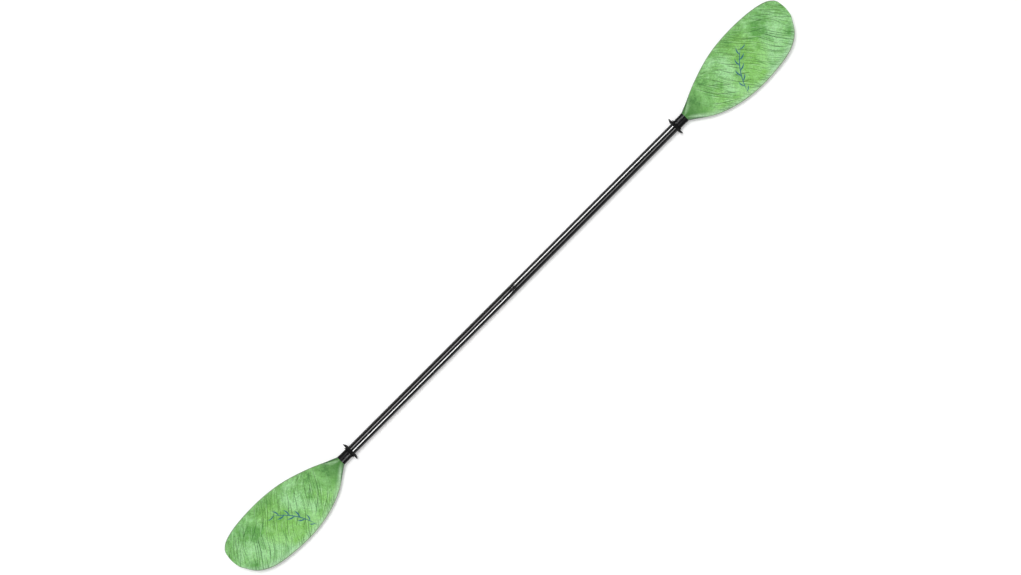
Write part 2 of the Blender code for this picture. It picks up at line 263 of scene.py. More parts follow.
# Carbon cloth: cells around the tube, a cell's length, and the share of domes in its relief
WEAVE_AROUND = 44
WEAVE_PITCH = 0.00204
WEAVE_DOME_SHARE = 0.6

# Other finishes' colours, the weave's painted sheen among them, and how many times lighter rubbed
# marks are
WEAVE_GAP = (0.001, 0.001, 0.001)
WEAVE_BLACK = (0.005, 0.005, 0.005)
PAINTED_WEAVE_SHEEN = (0.036, 0.036, 0.038)
SHRINK_BLACK = (0.003, 0.003, 0.0035)
RUBBER_BLACK = (0.004, 0.004, 0.0045)
RUBBER_BLOOM = (0.011, 0.011, 0.0115)
LINER_RESIN = (0.22, 0.24, 0.20)
LINER_STRAND = (0.40, 0.41, 0.37)
INSERT_BLACK = (0.026, 0.026, 0.028)
NOSE_BLACK = (0.040, 0.040, 0.043)
FOAM_SKIN = (0.78, 0.78, 0.75)
FOAM_CELL = (0.55, 0.55, 0.52)
STEEL_DARK = (0.42, 0.42, 0.43)
STEEL_LIGHT = (0.56, 0.56, 0.57)
RUBBED_LIGHTER = 1.7

# Studio: the floor's grey and its glow to the camera, and the heights between white and dark sky
WHITE = (1.0, 1.0, 1.0)
FLOOR_GREY = (0.70, 0.70, 0.70)
FLOOR_GLOW = 0.36
FLOOR_REACH = 60.0
SKY_FADE_START = 0.02
SKY_FADE_END = 0.12
SKY_CEILING = 0.06

# Lamps beside the paddle: strips that streak the shaft, and boxes that show in the throats
LAMP_DISTANCE = 0.300
STRIP_PLACE = 0.378
STRIP_LENGTH = 0.735
# The strips: name, side of the paddle, tilt, width and brightness
STRIPS = (
    ("left_bright_strip", -1, 34.5, 0.076, 58.0),
    ("left_faint_strip", -1, -33.0, 0.060, 19.5),
    ("right_bright_strip", 1, -41.0, 0.094, 48.0),
    ("right_faint_strip", 1, 30.0, 0.060, 13.5),
)
BOX_PLACE = 0.870
BOX_LENGTH = 0.250
BOX_WIDTH = 0.180
BOX_TILT = 43.0
BOX_BRIGHTNESS = 5.5
SHAFT_PIECES = (
    "left_shaft_weave", "right_shaft_weave", "left_sleeve_film", "right_sleeve_film", "seam_gasket",
)

shaft_radius = SHAFT_DIAMETER / 2
shaft_bore = shaft_radius - SHAFT_WALL
shoulder_radius = shaft_radius + SHOULDER_STEP
throat_radius = shoulder_radius + SLEEVE_GAP + SLEEVE_WALL
axis_height = RING_DIAMETER / 2 * math.cos(math.pi / CAD_SIDES)
throat_end = OVERALL_LENGTH / 2 - BLADE_LENGTH
shoulder_end = throat_end - SHOULDER_LENGTH
shaft_start = SEAM_WIDTH / 2
shaft_end = shoulder_end - FIT_GAP
sleeve_end = throat_end - SLEEVE_LENGTH
ring_start = sleeve_end - FIT_GAP
liner_radius = shaft_bore - FIT_GAP
liner_bore = liner_radius - LINER_WALL
insert_radius = liner_bore - FIT_GAP
insert_bore = insert_radius - INSERT_WALL
bonded_start = shaft_start + FIT_GAP
bonded_end = bonded_start + INSERT_BONDED_LENGTH
bonded_radius = shaft_bore - FIT_GAP
clip_end = BUTTON_POSITION + CLIP_LEG + CLIP_TAPER + CLIP_BEND_RADIUS + CLIP_THICKNESS / 2
insert_reach = clip_end + NOSE_STEM
nose_start = insert_reach + FIT_GAP
liner_end = nose_start + NOSE_FLANGE + LINER_SPARE
hole_radius = BUTTON_DIAMETER / 2 + FIT_GAP
index_holes = [(-BUTTON_POSITION, turn * FEATHER_STEP) for turn in (-1, 0, 1)]


class Shader:
    """One material's nodes, with short calls for the kinds used here."""

    def __init__(self, name, **values):
        self.material = bpy.data.materials.new(name)
        self.material.use_nodes = True
        self.tree = self.material.node_tree
        self.surface = self.tree.nodes["Principled BSDF"]
        for key, value in values.items():
            self.put(self.surface.inputs[key.replace("_", " ")], value)

    def put(self, socket, value):
        if isinstance(value, bpy.types.NodeSocket):
            self.tree.links.new(value, socket)
        elif isinstance(value, tuple) and socket.type == "RGBA":
            socket.default_value = (*value, 1.0)
        else:
            socket.default_value = value

    def add(self, kind, inputs, output=0, **settings):
        node = self.tree.nodes.new("ShaderNode" + kind)
        for key, value in settings.items():
            setattr(node, key, value)
        for key, value in inputs.items():
            self.put(node.inputs[key], value)
        return node.outputs[output]

    def math(self, operation, first, second=0.0, third=0.0):
        return self.add("Math", {0: first, 1: second, 2: third}, operation=operation)

    def smooth(self, value, low, high, start=0.0, end=1.0):
        """A soft step from start to end, while the value goes from low to high or back."""
        inputs = {
            "Value": value, "From Min": low, "From Max": high, "To Min": start, "To Max": end,
        }
        return self.add("MapRange", inputs, interpolation_type="SMOOTHSTEP")

    def noise(self, place, scale, detail=2.0, roughness=0.5, distortion=0.0):
        inputs = {
            "Vector": place, "Scale": scale, "Detail": detail,
            "Roughness": roughness, "Distortion": distortion,
        }
        return self.add("TexNoise", inputs)

    def stretched(self, place, scale):
        """The place with its three axes stretched, for fibres and brush marks."""
        return self.add("Mapping", {"Vector": place, "Scale": scale})

    def mix(self, share, first, second, blend_type="MIX"):
        inputs = {0: share, 6: first, 7: second}
        return self.add("Mix", inputs, output=2, data_type="RGBA", blend_type=blend_type)

    def paint(self, colour, cover, strength, over):
        """The colour with another one laid over it, where it covers and as strong as it says."""
        return self.mix(self.math("MULTIPLY", cover, strength), colour, over)

    def split(self, vector):
        node = self.tree.nodes.new("ShaderNodeSeparateXYZ")
        self.put(node.inputs[0], vector)
        return node.outputs

    def place(self):
        """The point on the surface, in the paddle's own frame at rest."""
        return self.tree.nodes.new("ShaderNodeTexCoord").outputs["Object"]

    def bump(self, height, distance, strength=1.0):
        normal = self.add("Bump", {"Height": height, "Distance": distance, "Strength": strength})
        self.put(self.surface.inputs["Normal"], normal)

    def colour(self, value):
        self.put(self.surface.inputs["Base Color"], value)

    def roughness(self, value):
        self.put(self.surface.inputs["Roughness"], value)


def turned_place(s, along, off, angle):
    """The two coordinates of a point in axes turned by an angle."""
    sine = math.sin(angle)
    cosine = math.cos(angle)
    lengthwise = s.math("MULTIPLY_ADD", along, cosine, s.math("MULTIPLY", off, sine))
    across = s.math("MULTIPLY_ADD", along, -sine, s.math("MULTIPLY", off, cosine))
    return lengthwise, across


def leaf_cover(s, u, v):
    """A pointed leaf's cover, from the share of its half length and of its half width."""
    belly = s.math("SUBTRACT", 1.0, s.math("MULTIPLY", u, u))
    return s.smooth(s.math("SUBTRACT", belly, v), 0.0, LEAF_SOFTNESS)


def scattered_leaves(s, along, off, angle, cell, stretch, length, width, lean, bend, seed):
    """Cover of slender bent leaves strewn about one direction, one to a cell."""
    lengthwise, across = turned_place(s, along, off, angle)
    spot = s.add("CombineXYZ", {
        0: s.math("MULTIPLY_ADD", lengthwise, 1.0 / (cell * stretch), seed),
        1: s.math("MULTIPLY", across, 1.0 / cell),
    })
    cells = s.tree.nodes.new("ShaderNodeTexVoronoi")
    cells.voronoi_dimensions = "2D"
    s.put(cells.inputs["Vector"], spot)
    s.put(cells.inputs["Scale"], 1.0)
    s.put(cells.inputs["Randomness"], LEAF_SCATTER)
    chance = s.split(cells.outputs["Color"])
    offset = s.add("VectorMath", {0: spot, 1: cells.outputs["Position"]}, operation="SUBTRACT")
    x, y = s.split(offset)[:2]
    x = s.math("MULTIPLY", x, cell * stretch)
    y = s.math("MULTIPLY", y, cell)
    y = s.math("MULTIPLY_ADD", x, s.math("MULTIPLY_ADD", chance[0], 2.0 * lean, -lean), y)
    bending = s.math("MULTIPLY_ADD", chance[1], 2.0 * bend, -bend)
    y = s.math("MULTIPLY_ADD", s.math("MULTIPLY", x, x), bending, y)
    size = s.math("MULTIPLY_ADD", chance[2], 1.0 - LEAF_LEAST_SIZE, LEAF_LEAST_SIZE)
    u = s.math("DIVIDE", s.math("MULTIPLY", x, 2.0 / length), size)
    v = s.math("DIVIDE", s.math("MULTIPLY", s.math("ABSOLUTE", y), 2.0 / width), size)
    return leaf_cover(s, u, v)


def leaf(s, along, off, place, angle, length, width, bend):
    """Cover of one slender pointed leaf, bent by a height over its half length."""
    x = s.math("SUBTRACT", along, place[0])
    y = s.math("SUBTRACT", off, place[1])
    u, v = turned_place(s, x, y, angle)
    u = s.math("MULTIPLY", u, 2.0 / length)
    v = s.math("MULTIPLY_ADD", s.math("MULTIPLY", u, u), bend, v)
    v = s.math("MULTIPLY", s.math("ABSOLUTE", v), 2.0 / width)
    return leaf_cover(s, u, v)


def sprig(s, along, off):
    """Cover of a bent stem with leaves on both sides by turns."""
    cover = leaf(s, along, off, SPRIG_PLACE, SPRIG_ANGLE, SPRIG_LENGTH, STEM_WIDTH, SPRIG_BEND)
    cosine = math.cos(SPRIG_ANGLE)
    sine = math.sin(SPRIG_ANGLE)
    for i in range(LEAF_COUNT):
        share = LEAF_SPAN * (i + 0.5) / LEAF_COUNT - LEAF_START
        side = 1.0 if i % 2 else -1.0
        size = 1.0 - LEAF_SHRINK * abs(share) ** 3
        slope = math.atan(4.0 * SPRIG_BEND * share / SPRIG_LENGTH)
        lean = SPRIG_ANGLE - slope + side * LEAF_LEAN
        u = share * SPRIG_LENGTH / 2
        v = -SPRIG_BEND * share**2
        reach = LEAF_LENGTH * size * LEAF_REACH
        middle = (
            SPRIG_PLACE[0] + u * cosine - v * sine + reach * math.cos(lean),
            SPRIG_PLACE[1] + u * sine + v * cosine + reach * math.sin(lean),
        )
        bend = side * LEAF_BEND * LEAF_LENGTH
        one = leaf(s, along, off, middle, lean, LEAF_LENGTH * size, LEAF_WIDTH * size, bend)
        cover = s.math("MAXIMUM", cover, one)
    return cover


def film_place(s, along, off, layer):
    """The point on the film, in one of the layers that its noises are drawn from."""
    return s.add("CombineXYZ", {0: along, 1: off, 2: layer})


def watercolour(s, along, off, inset):
    """The film's ground and the noise of its patches: clouds of green, darker at the throat partly
    as painted shade, and a painted highlight along the short edge.
    """
    spot = film_place(s, along, off, layer=0.0)
    clouds = s.noise(spot, scale=9.0, detail=3.0, roughness=0.55, distortion=0.6)
    patches = s.noise(spot, scale=42.0, detail=6.0, roughness=0.66, distortion=0.5)
    grain = s.noise(spot, scale=210.0, detail=3.0, roughness=0.65)
    tone = s.math("MULTIPLY", clouds, CLOUD_SHARE)
    tone = s.math("MULTIPLY_ADD", patches, PATCH_SHARE, tone)
    tone = s.math("MULTIPLY_ADD", grain, GRAIN_SHARE, tone)
    colour = s.mix(s.smooth(tone, 0.46, 0.59), GROUND_GREEN, PALE_GREEN)
    colour = s.mix(s.smooth(tone, 0.48, 0.37), colour, DEEP_GREEN)

    lime = s.smooth(s.noise(spot, scale=6.0), 0.48, 0.62)
    colour = s.paint(colour, lime, strength=0.50, over=LIME_GREEN)
    deeper = film_place(s, along, off, layer=9.0)
    pools = s.noise(deeper, scale=8.0, detail=4.0, roughness=0.60, distortion=1.0)
    colour = s.paint(colour, s.smooth(pools, 0.50, 0.66), strength=0.80, over=POOL_GREEN)
    # Darker green towards the throat: partly the film's own deeper tone, partly painted shade of
    # the throat's middle.
    throat = s.smooth(along, *THROAT_ALONG)
    colour = s.paint(colour, throat, strength=0.92, over=THROAT_TONE_AND_SHADE)
    # Painted highlight: a pale band along the short edge, standing in for the gloss that the lifted
    # edge catches.
    edge_highlight = s.math("MULTIPLY", s.smooth(inset, *EDGE_HIGHLIGHT_INSET), s.smooth(off, *EDGE_HIGHLIGHT_OFF))
    colour = s.paint(colour, edge_highlight, strength=0.55, over=PAINTED_EDGE_HIGHLIGHT)
    mottle = s.noise(spot, scale=160.0, detail=3.0, roughness=0.7)
    mottle = s.smooth(mottle, 0.30, 0.70, start=0.86, end=1.14)
    colour = s.mix(1.0, colour, mottle, blend_type="MULTIPLY")
    return colour, patches


def water_grass(s, colour, along, off):
    """The colour with strands, leaves and specks laid over it, which fade out at the throat."""
    drift = film_place(s, along, off, layer=3.0)
    bends = s.noise(drift, scale=6.0, detail=1.0, roughness=0.4)
    swaying = s.math("ADD", off, s.math("MULTIPLY_ADD", bends, SWAY, -SWAY / 2))
    grass = scattered_leaves(
        s, along, swaying, angle=-0.85, cell=0.0062, stretch=13.0,
        length=0.100, width=0.0019, lean=0.10, bend=3.0, seed=3.0,
    )
    stems = scattered_leaves(
        s, along, swaying, angle=-0.70, cell=0.0190, stretch=5.5,
        length=0.120, width=0.0021, lean=0.22, bend=5.0, seed=11.0,
    )
    broad = scattered_leaves(
        s, along, swaying, angle=-0.95, cell=0.0240, stretch=2.8,
        length=0.052, width=0.0056, lean=0.30, bend=6.0, seed=7.0,
    )
    light = scattered_leaves(
        s, along, swaying, angle=-0.75, cell=0.0160, stretch=4.0,
        length=0.056, width=0.0036, lean=0.22, bend=5.0, seed=19.0,
    )
    specks = scattered_leaves(
        s, along, off, angle=0.80, cell=0.0050, stretch=1.2,
        length=0.0034, width=0.0016, lean=0.3, bend=0.0, seed=23.0,
    )
    printed = s.smooth(along, *PRINT_ALONG)
    colour = s.paint(colour, light, s.math("MULTIPLY", printed, 0.45), LIGHT_LEAF)
    colour = s.paint(colour, broad, s.math("MULTIPLY", printed, 0.50), BROAD_LEAF)
    shown = s.smooth(s.noise(drift, scale=15.0), 0.32, 0.48)
    ink = s.math("MULTIPLY", grass, s.math("MULTIPLY", shown, 0.90))
    ink = s.math("MAXIMUM", ink, stems)
    ink = s.math("MAXIMUM", ink, s.math("MULTIPLY", specks, s.math("MULTIPLY", shown, 0.7)))
    return s.paint(colour, ink, s.math("MULTIPLY", printed, 0.90), GRASS_INK)


def film_with_painted_light():
    """Moulded blade with a generic film of watercolour and water grass under its gloss, with
    painted shade at the throat and on its flanks, and a painted highlight along the short edge.
    """
    s = Shader("film_with_painted_light", Roughness=BLADE_ROUGHNESS)
    x, off = s.split(s.place())[:2]
    along = s.math("SUBTRACT", s.math("ABSOLUTE", x), throat_end)
    inset = s.add("Attribute", {}, output="Fac", attribute_name="inset")
    colour, patches = watercolour(s, along, off, inset)
    colour = water_grass(s, colour, along, off)
    colour = s.paint(colour, sprig(s, along, off), strength=0.95, over=SPRIG_BLUE)

    # Painted shade: dark green on the throat's flanks near its edges, where they would mirror dark
    # surroundings.
    flank_shade = s.math("MULTIPLY", s.smooth(inset, *FLANK_SHADE_INSET), s.smooth(along, *FLANK_SHADE_ALONG))
    colour = s.paint(colour, flank_shade, strength=0.80, over=FLANK_SHADE)
    rim = s.math("MULTIPLY", s.smooth(inset, *RIM_INSET), s.smooth(along, *RIM_ALONG))
    colour = s.paint(colour, rim, strength=0.90, over=RIM_GREY)
    s.colour(colour)
    shine = s.smooth(patches, 0.3, 0.7, start=BLADE_ROUGHNESS - 0.04, end=BLADE_ROUGHNESS + 0.05)
    s.roughness(shine)
    s.bump(s.noise(s.place(), scale=420.0), distance=0.00006, strength=0.5)
    return s.material


def woven_carbon():
    """Plain-weave carbon cloth under a smooth clear coat, with a painted sheen on every other
    cell's dome.
    """
    s = Shader(
        "woven_carbon", Roughness=0.38, Specular_IOR_Level=0.004,
        Coat_Weight=0.55, Coat_Roughness=0.10, Coat_IOR=1.55,
    )
    x, y, z = s.split(s.place())
    turn = s.math("ARCTAN2", s.math("SUBTRACT", z, axis_height), y)
    around = s.math("MULTIPLY_ADD", turn, WEAVE_AROUND / (2 * math.pi), WEAVE_AROUND)
    along = s.math("MULTIPLY", x, 1.0 / WEAVE_PITCH)
    cell = s.math("ADD", s.math("FLOOR", around), s.math("FLOOR", along))
    warp = s.math("FLOORED_MODULO", cell, 2.0)
    across_warp = s.math("SINE", s.math("MULTIPLY", s.math("FRACT", around), math.pi))
    across_weft = s.math("SINE", s.math("MULTIPLY", s.math("FRACT", along), math.pi))
    ridge = s.add("Mix", {0: warp, 2: across_weft, 3: across_warp}, data_type="FLOAT")
    dome = s.math("MULTIPLY", across_warp, across_weft)
    ridge = s.math("MULTIPLY", ridge, 1.0 - WEAVE_DOME_SHARE)
    height = s.math("MULTIPLY_ADD", dome, WEAVE_DOME_SHARE, ridge)
    # Painted sheen: the domes of every other cell are lighter, standing in for tows that catch the
    # light.
    bright = s.math("MULTIPLY", s.smooth(dome, 0.25, 0.85), s.math("SUBTRACT", 1.0, warp))
    colour = s.mix(s.smooth(dome, 0.0, 0.5), WEAVE_GAP, WEAVE_BLACK)
    s.colour(s.mix(bright, colour, PAINTED_WEAVE_SHEEN))
    s.bump(height, distance=0.00022, strength=0.8)
    return s.material


def shrink_film():
    """Black heat-shrink: satin, with faint wrinkles across and a fine grain."""
    s = Shader(
        "shrink_film", Base_Color=SHRINK_BLACK, Roughness=0.30, Specular_IOR_Level=0.066,
    )
    place = s.place()
    stretched = s.stretched(place, (140.0, 900.0, 900.0))
    wrinkle = s.noise(stretched, scale=1.0, detail=3.0, roughness=0.55)
    grain = s.noise(place, scale=2600.0)
    s.roughness(s.smooth(grain, 0.3, 0.7, start=0.27, end=0.35))
    s.bump(s.math("MULTIPLY_ADD", grain, 0.25, wrinkle), distance=0.00010, strength=0.5)
    return s.material


def rubber():
    """Matt black moulded rubber with a dusty bloom."""
    s = Shader("moulded_rubber", Roughness=0.62, Specular_IOR_Level=0.11)
    place = s.place()
    bloom = s.noise(place, scale=120.0, detail=4.0, roughness=0.6)
    grain = s.noise(place, scale=3200.0)
    s.colour(s.mix(s.smooth(bloom, 0.40, 0.75), RUBBER_BLACK, RUBBER_BLOOM))
    s.roughness(s.smooth(bloom, 0.35, 0.70, start=0.56, end=0.70))
    s.bump(grain, distance=0.00008, strength=0.5)
    return s.material


def glass_liner():
    """Pultruded glass-fibre tube: pale strands along it in a greenish resin."""
    s = Shader("glass_liner", Roughness=0.42)
    stretched = s.stretched(s.place(), (40.0, 1500.0, 1500.0))
    strand = s.noise(stretched, scale=1.0, detail=4.0, roughness=0.6)
    s.colour(s.mix(s.smooth(strand, 0.35, 0.65), LINER_RESIN, LINER_STRAND))
    s.roughness(s.smooth(strand, 0.3, 0.7, start=0.36, end=0.50))
    s.bump(strand, distance=0.00005, strength=0.5)
    return s.material


def moulded_black(name, colour, roughness):
    """Black glass-filled nylon with a fine moulded texture and faint sliding marks along it."""
    s = Shader(name, Roughness=roughness)
    place = s.place()
    stretched = s.stretched(place, (25.0, 1800.0, 1800.0))
    mark = s.noise(stretched, scale=1.0, detail=3.0, roughness=0.6)
    grain = s.noise(place, scale=2400.0, detail=3.0)
    lighter = tuple(value * RUBBED_LIGHTER for value in colour)
    s.colour(s.mix(s.smooth(mark, 0.52, 0.72), colour, lighter))
    s.roughness(s.smooth(mark, 0.35, 0.70, start=roughness + 0.06, end=roughness - 0.08))
    s.bump(grain, distance=0.00006, strength=0.5)
    return s.material


def closed_foam():
    """Closed-cell foam with open cut cells."""
    s = Shader("closed_foam", Roughness=0.92)
    cells = s.add("TexVoronoi", {"Vector": s.place(), "Scale": 900.0})
    s.colour(s.mix(s.smooth(cells, 0.1, 0.6), FOAM_SKIN, FOAM_CELL))
    s.bump(cells, distance=0.0004, strength=0.6)
    return s.material


def spring_steel():
    """Brushed stainless strip."""
    s = Shader("spring_steel", Metallic=1.0, Roughness=0.36)
    stretched = s.stretched(s.place(), (60.0, 4000.0, 400.0))
    brush = s.noise(stretched, scale=1.0, detail=3.0, roughness=0.6)
    s.colour(s.mix(s.smooth(brush, 0.3, 0.7), STEEL_DARK, STEEL_LIGHT))
    s.roughness(s.smooth(brush, 0.3, 0.7, start=0.31, end=0.44))
    s.bump(brush, distance=0.00002, strength=0.4)
    return s.material


def shaded(data, smooth_angle):
    """The mesh, smooth but for its real corners."""
    data.shade_smooth()
    data.set_sharp_from_angle(angle=math.radians(smooth_angle))
    return data


def new_mesh(name, points, faces, smooth_angle=SMOOTH_ANGLE, merged=False):
    """A mesh with outward faces, and with the points merged that share a place if it says so."""
    data = bpy.data.meshes.new(name)
    data.from_pydata(points, [], faces)
    work = bmesh.new()
    work.from_mesh(data)
    if merged:
        bmesh.ops.remove_doubles(work, verts=work.verts, dist=SAME_POINT)
    bmesh.ops.recalc_face_normals(work, faces=work.faces)
    work.to_mesh(data)
    work.free()
    return shaded(data, smooth_angle)


def new_object(name, data):
    thing = bpy.data.objects.new(name, data)
    bpy.context.scene.collection.objects.link(thing)
    return thing


def new_piece(name, data, node, material, body=None):
    """A piece that stands for a CAD node, which it hides, takes the given finish, and rides on a
    body if one is given.
    """
    piece = new_object(name, data)
    piece.data.materials.clear()
    piece.data.materials.append(material)
    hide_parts(node)
    if body:
        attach(piece, body)
    return piece


def smooth_step(value):
    value = min(max(value, 0.0), 1.0)
    return value * value * (3 - 2 * value)


def rounded(profile, radius, closed=True):
    """The profile with small curves for corners, each held by a point on the straight beside it."""
    result = []
    count = len(profile)
    for i, corner in enumerate(profile):
        if not closed and i in (0, count - 1):
            result.append(corner)
            continue
        here = np.array(corner)
        before = np.array(profile[i - 1]) - here
        after = np.array(profile[(i + 1) % count]) - here
        reach_before = min(radius / np.linalg.norm(before), FILLET_LIMIT)
        reach_after = min(radius / np.linalg.norm(after), FILLET_LIMIT)
        result.append(tuple(here + before * reach_before * FILLET_HOLD))
        for step in range(FILLET_STEPS + 1):
            t = step / FILLET_STEPS
            point = here + before * reach_before * (1 - t) ** 2 + after * reach_after * t**2
            result.append(tuple(point))
        result.append(tuple(here + after * reach_after * FILLET_HOLD))
    return result


def side_faces(rows, sides):
    """The faces between closed rows of points that are numbered on from row to row."""
    faces = []
    for row in range(rows - 1):
        start = row * sides
        for k in range(sides):
            here = start + k
            after = start + (k + 1) % sides
            faces.append((here, after, after + sides, here + sides))
    return faces


def lathe(name, profile, side, closed=True, smooth_angle=SMOOTH_ANGLE):
    """Solid of revolution round the shaft's line, from (distance out along it, radius) pairs."""
    points = []
    rows = []
    for distance, radius in profile:
        x = side * distance
        if radius < SAME_POINT:
            rows.append([len(points)] * SEGMENTS)
            points.append((x, 0.0, axis_height))
            continue
        rows.append(list(range(len(points), len(points) + SEGMENTS)))
        for k in range(SEGMENTS):
            turn = 2 * math.pi * k / SEGMENTS
            points.append((x, radius * math.cos(turn), axis_height + radius * math.sin(turn)))
    pairs = list(zip(rows, rows[1:]))
    if closed:
        pairs.append((rows[-1], rows[0]))
    faces = []
    for row, following in pairs:
        for k in range(SEGMENTS):
            after = (k + 1) % SEGMENTS
            corners = (row[k], row[after], following[after], following[k])
            faces.append(tuple(dict.fromkeys(corners)))
    return new_mesh(name, points, faces, smooth_angle)


def cut_holes(data, holes):
    """Drills the button's holes, given as (x, turn from straight up), through a tube's mesh."""
    target = new_object("drilled", data)
    middle = shaft_radius * DRILL_MIDDLE
    depth = shaft_radius * DRILL_DEPTH
    drills = []
    for x, turn in holes:
        bpy.ops.mesh.primitive_cylinder_add(vertices=HOLE_SIDES, radius=hole_radius, depth=depth)
        drill = bpy.context.active_object
        drill.location = (x, -middle * math.sin(turn), axis_height + middle * math.cos(turn))
        drill.rotation_euler = (turn, 0.0, 0.0)
        cut = target.modifiers.new("hole", "BOOLEAN")
        cut.object = drill
        cut.solver = "EXACT"
        drills.append(drill)
    return applied(target, drills)


def applied(target, helpers):
    """The mesh that target's modifiers give. The helper objects go."""
    bpy.context.view_layer.update()
    graph = bpy.context.evaluated_depsgraph_get()
    result = bpy.data.meshes.new_from_object(target.evaluated_get(graph))
    for thing in [target, *helpers]:
        bpy.data.objects.remove(thing)
    return shaded(result, SMOOTH_ANGLE)


def spline(points, count):
    """Evenly numbered points on the natural cubic spline through the given ones."""
    knots = np.array(points)
    last = len(knots) - 1
    system = np.eye(last + 1)
    bends = np.zeros_like(knots)
    for i in range(1, last):
        system[i, i - 1:i + 2] = (1.0, 4.0, 1.0)
        bends[i] = 6 * (knots[i - 1] - 2 * knots[i] + knots[i + 1])
    bends = np.linalg.solve(system, bends)
    result = []
    for step in range(count):
        place = step * last / (count - 1)
        i = min(int(place), last - 1)
        t = place - i
        s = 1 - t
        result.append(
            s * knots[i] + t * knots[i + 1]
            + (s**3 - s) * bends[i] / 6 + (t**3 - t) * bends[i + 1] / 6
        )
    return result


def blade_edge(root, shares, width):
    """One edge of the blade from throat to tip, as (distance from the throat, off the shaft)."""
    points = [(0.0, root)]
    points += [(along * BLADE_LENGTH, out * width) for along, out in shares]
    points.append((BLADE_LENGTH, TIP_OFFSET))
    return spline(points, BLADE_STATIONS)


def camber(along, across):
    """Height of the middle surface: it drops behind the throat, rises at the tip, cups at edges."""
    share = min(max(along / BLADE_LENGTH, 0.0), 1.0)
    spoon = TIP_RISE * share**3 - BELLY_DROP * math.sin(math.pi * share) ** 2
    cup = EDGE_LIFT * smooth_step(share / CUP_START_SHARE) * (1 - CUP_FADE_SHARE * share)
    return spoon + cup * across * across


def half_thickness(along, across, station):
    """Half the blade's thickness: a round throat flattens into a thin blade with a blunt edge."""
    flat = smooth_step(along / THROAT_LENGTH)
    inside = max(1 - across * across, 0.0)
    round_part = throat_radius * math.sqrt(inside)
    blunt = EDGE_THICKNESS / 2 * math.sqrt(max(1 - across**EDGE_POWER, 0.0))
    lens = (MIDDLE_THICKNESS - EDGE_THICKNESS) / 2 * inside**LENS_POWER
    nose = math.sqrt(max(1 - station**NOSE_POWER, 0.0))
    return ((1 - flat) * round_part + flat * (blunt + lens)) * nose


def spine(along, offset, across):
    """Extra thickness of the rib behind the blade, which carries the shaft on and fades out."""
    grow = smooth_step(along / THROAT_LENGTH)
    fade = 1 - smooth_step((along - THROAT_LENGTH) / (SPINE_LENGTH - THROAT_LENGTH))
    ridge = math.exp(-((2 * offset / SPINE_WIDTH) ** 2))
    return SPINE_HEIGHT * grow * fade * ridge * max(1 - across * across, 0.0)


def blade_mesh(name, side):
    """Fine loft of the blade, closed over the hidden spigot's end of the throat.

    Each point keeps its distance from the nearer edge, which the film uses.
    """
    long_edge = blade_edge(throat_radius, LONG_EDGE, LONG_SIDE)
    short_edge = blade_edge(-throat_radius, SHORT_EDGE, -SHORT_SIDE)
    points = []
    insets = []
    for step in range(BLADE_STATIONS - 1):
        station = step / (BLADE_STATIONS - 1)
        half_width = np.linalg.norm(long_edge[step] - short_edge[step]) / 2
        for k in range(BLADE_SEGMENTS):
            turn = 2 * math.pi * k / BLADE_SEGMENTS
            across = math.cos(turn)
            up = math.copysign(1.0, math.sin(turn)) if k % (BLADE_SEGMENTS // 2) else 0.0
            place = short_edge[step] + (long_edge[step] - short_edge[step]) * (across + 1) / 2
            height = camber(place[0], across) + up * half_thickness(place[0], across, station)
            if up < 0:
                height -= spine(place[0], place[1], across)
            points.append((side * (throat_end + place[0]), place[1], axis_height + height))
            insets.append(half_width * (1 - abs(across)))
    tip_height = axis_height + camber(BLADE_LENGTH, 0.0)
    tip = len(points)
    points.append((side * (throat_end + BLADE_LENGTH), TIP_OFFSET, tip_height))
    insets.append(0.0)

    faces = [tuple(range(BLADE_SEGMENTS))]
    faces += side_faces(BLADE_STATIONS - 1, BLADE_SEGMENTS)
    last = tip - BLADE_SEGMENTS
    for k in range(BLADE_SEGMENTS):
        faces.append((last + k, last + (k + 1) % BLADE_SEGMENTS, tip))
    data = new_mesh(name, points, faces, BLADE_SMOOTH_ANGLE)
    inset = data.attributes.new("inset", "FLOAT", "POINT")
    inset.data.foreach_set("value", insets)
    return data


def spigot_mesh(name, side):
    """Shoulder and hollow spigot of the moulding, inside the sleeve and the shaft."""
    spigot_end = shoulder_end - SPIGOT_LENGTH
    bore = bonded_radius - SPIGOT_WALL
    profile = [
        (throat_end, bore),
        (throat_end, shoulder_radius),
        (shoulder_end, shoulder_radius),
        (shoulder_end, bonded_radius),
        (spigot_end, bonded_radius),
        (spigot_end, bore),
    ]
    return lathe(name, rounded(profile, SPIGOT_FILLET), side)


def joined(name, parts):
    """One mesh from several closed ones that touch."""
    work = bmesh.new()
    for part in parts:
        work.from_mesh(part)
    data = bpy.data.meshes.new(name)
    work.to_mesh(data)
    work.free()
    return data


def sleeve_profile():
    """Heat-shrink sleeve: a soft lip at the throat, a crease under the shoulder, a thin end."""
    low = shaft_radius + SLEEVE_GAP
    high = shoulder_radius + SLEEVE_GAP
    step = shoulder_end - FIT_GAP
    lip = throat_end - LIP_GAP
    outer = [(lip, high + SLEEVE_WALL * LIP_SHARE), (throat_end - LIP_LENGTH, high + SLEEVE_WALL)]
    outer += [(step + place, high + SLEEVE_WALL * share) for place, share in CREASE_ON_SHOULDER]
    outer += [(step + place, low + SLEEVE_WALL * share) for place, share in CREASE_ON_SHAFT]
    outer.append((sleeve_end, low + SLEEVE_WALL))
    foot, top = CREASE_INSIDE
    inner = [(sleeve_end, low), (step + foot, low), (step + top, high), (lip, high)]
    return outer + inner


